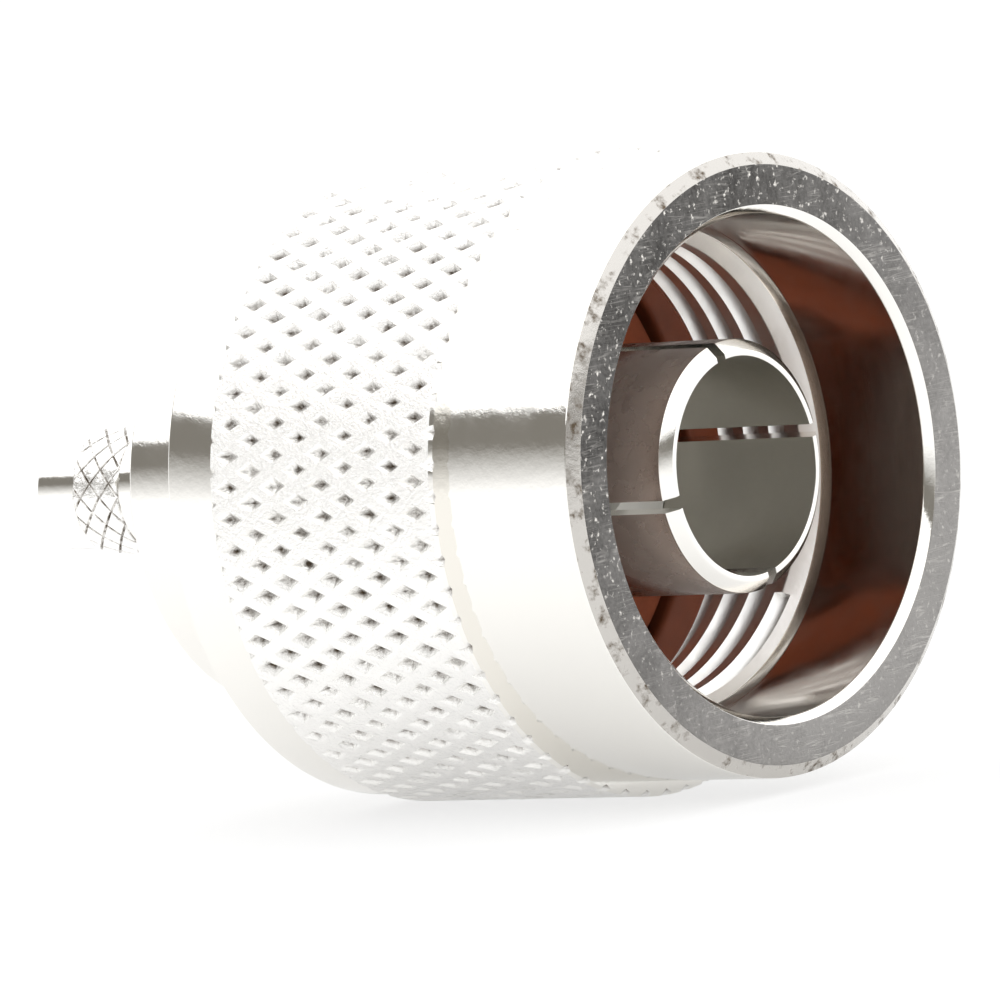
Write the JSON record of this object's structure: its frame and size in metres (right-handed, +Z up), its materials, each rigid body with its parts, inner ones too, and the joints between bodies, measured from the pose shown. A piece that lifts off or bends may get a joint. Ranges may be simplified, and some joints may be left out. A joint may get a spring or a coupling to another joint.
{
  "type": "coaxial cable plug",
  "caption": "Screw-coupled coaxial plug with a diamond-knurled turning nut, a slotted tubular outer contact inside its mouth and a crimp stem at the rear.",
  "frame": {"origin": "on the connector's axis, at the centre of the outer contact's front edge, which is the plane where two connectors meet", "axes": "+X along the axis and out of the mouth; +Z up as the plug lies on its knurl"},
  "size_m": [0.0297, 0.0208, 0.0208],
  "materials": {
    "nickel_plate": "bright nickel plate on brass, with a dull scratched front face",
    "body_nickel": "bright nickel plate on brass",
    "contact_plate": "bright plated spring bronze",
    "spring_bronze": "satin phosphor bronze",
    "silicone": "matt red-brown silicone rubber",
    "ptfe": "matt white fluoropolymer"
  },
  "bodies": {
    "plug_body": {"body": "body_nickel", "outer_contact": "contact_plate", "insulator": "ptfe", "gasket": "silicone", "retaining_ring": "spring_bronze"},
    "nut": {"coupling_nut": "nickel_plate"}
  },
  "joints": [
    {"name": "nut_turn", "type": "hinge", "parent": "plug_body", "child": "nut", "pos_m": [-0.014, 0, 0], "axis": [1, 0, 0], "continuous": true}
  ]
}
